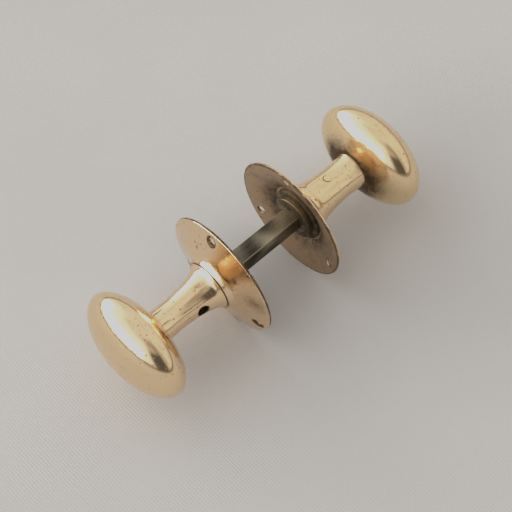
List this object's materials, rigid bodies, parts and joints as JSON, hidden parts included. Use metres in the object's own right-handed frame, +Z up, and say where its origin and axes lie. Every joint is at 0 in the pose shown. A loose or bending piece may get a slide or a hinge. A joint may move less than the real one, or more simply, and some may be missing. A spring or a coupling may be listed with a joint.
{
  "type": "door knob set",
  "caption": "Pair of hollow oval brass door knobs on one square steel spindle, each with a trumpet-shaped round rose for screwing to the door.",
  "frame": {"origin": "on the spindle's axis, in the middle of the door", "axes": "+X along the spindle from the left knob to the right knob, +Z up, Y level along the door's face"},
  "size_m": [0.1606, 0.0584, 0.0584],
  "materials": {
    "knob_brass": "polished cast brass with casting pits and handling wear",
    "rose_brass": "polished brass outside, dull brown patina inside",
    "inner_brass": "dull tarnished brass",
    "spindle_steel": "dark oxidised steel with bright worn edges",
    "screw_steel": "dark oxidised steel"
  },
  "bodies": {
    "left_plate": {"left_rose": "rose_brass"},
    "left_knob": {"left_neck": "knob_brass", "left_head": "knob_brass", "left_washer": "inner_brass", "left_collar": "inner_brass"},
    "grub_screw": {"grub_screw": "screw_steel"},
    "right_knob": {"spindle": "spindle_steel", "right_neck": "knob_brass", "right_head": "knob_brass", "right_washer": "inner_brass", "right_collar": "inner_brass", "cross_pin": "knob_brass"},
    "right_plate": {"right_rose": "rose_brass"}
  },
  "joints": [
    {"name": "knob_turn", "type": "hinge", "parent": "left_plate", "child": "left_knob", "pos_m": [-0.025, 0, 0], "axis": [1, 0, 0], "continuous": true},
    {"name": "grub_screw_travel", "type": "slide", "parent": "left_knob", "child": "grub_screw", "axis": [0, -1, 0], "range_m": [0, 0.003]},
    {"name": "door_adjust", "type": "slide", "parent": "left_knob", "child": "right_knob", "axis": [1, 0, 0], "range_m": [-0.003, 0.009]},
    {"name": "right_rose_turn", "type": "hinge", "parent": "right_knob", "child": "right_plate", "pos_m": [0.025, 0, 0], "axis": [1, 0, 0], "continuous": true}
  ],
  "couplings": [
    {"joint": "right_rose_turn", "follows": "knob_turn", "ratio": -1}
  ]
}
